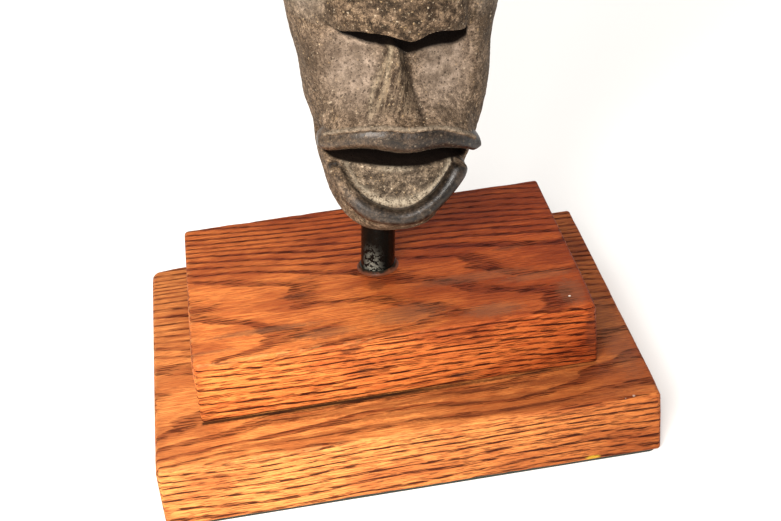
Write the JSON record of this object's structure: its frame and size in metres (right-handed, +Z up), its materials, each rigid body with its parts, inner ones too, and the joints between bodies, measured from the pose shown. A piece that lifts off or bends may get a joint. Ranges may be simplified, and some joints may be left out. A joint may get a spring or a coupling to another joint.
{
  "type": "display mask on stand",
  "caption": "Small hollow face mask with open mouth and nostril slot on a leaning black steel post set in a two-step stained oak plinth.",
  "frame": {"origin": "middle of the plinth's underside, on the felt's lower face", "axes": "+Z up; the mask looks along -Y; +X to the right of somebody looking at the face, the way the post leans"},
  "size_m": [0.1334, 0.0984, 0.1768],
  "materials": {
    "lower_oak": "stained oak, satin, open pores",
    "upper_oak": "stained oak, satin, open pores",
    "felt": "short nap felt",
    "screw_steel": "zinc plated",
    "post_paint": "gloss black paint, chipped at the foot",
    "glue": "clear amber glue on stained wood",
    "mask_clay": "unglazed, granular, burnished on the lips",
    "putty": "matte epoxy putty"
  },
  "bodies": {
    "root": {"lower_plinth": "lower_oak", "upper_plinth": "upper_oak", "base_felt": "felt", "plinth_screws": "screw_steel", "post": "post_paint", "post_glue": "glue", "mask": "mask_clay", "chin_putty": "putty"}
  },
  "joints": []
}
